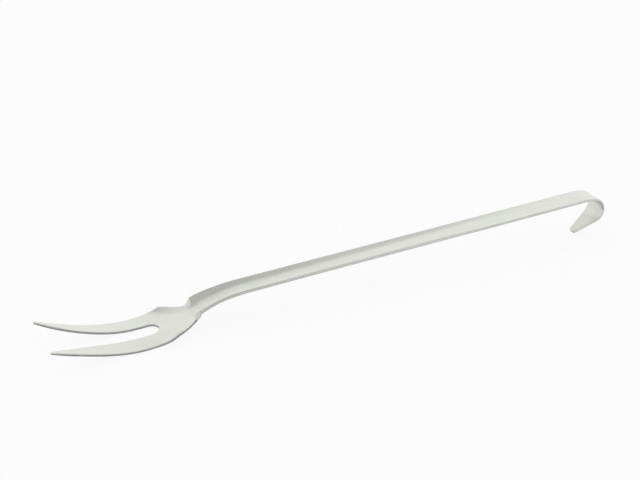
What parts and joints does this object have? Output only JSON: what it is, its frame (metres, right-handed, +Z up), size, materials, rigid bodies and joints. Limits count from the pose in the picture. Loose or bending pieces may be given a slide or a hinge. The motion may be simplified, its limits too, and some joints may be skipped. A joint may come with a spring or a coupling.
{
  "type": "carving fork",
  "caption": "Long two-tined carving fork: pressed sheet head welded at the neck to a gutter-section strip handle that ends in a turned-down hanging hook.",
  "frame": {"origin": "centre of the fork's bounding box at table height, as the fork lies on its tine bellies and the tip of its hook", "axes": "+X from the tine tips towards the hook along the fork's length, +Y across the fork, +Z up from the table"},
  "size_m": [0.48, 0.0474, 0.0331],
  "materials": {
    "head_steel": "satin stainless steel, fine grain along the tines",
    "handle_steel": "satin stainless steel, fine grain along the handle",
    "weld_steel": "ground and blended weld metal, grinding marks across the neck"
  },
  "bodies": {
    "root": {"fork_head": "head_steel", "neck_weld": "weld_steel", "handle": "handle_steel"}
  },
  "joints": []
}
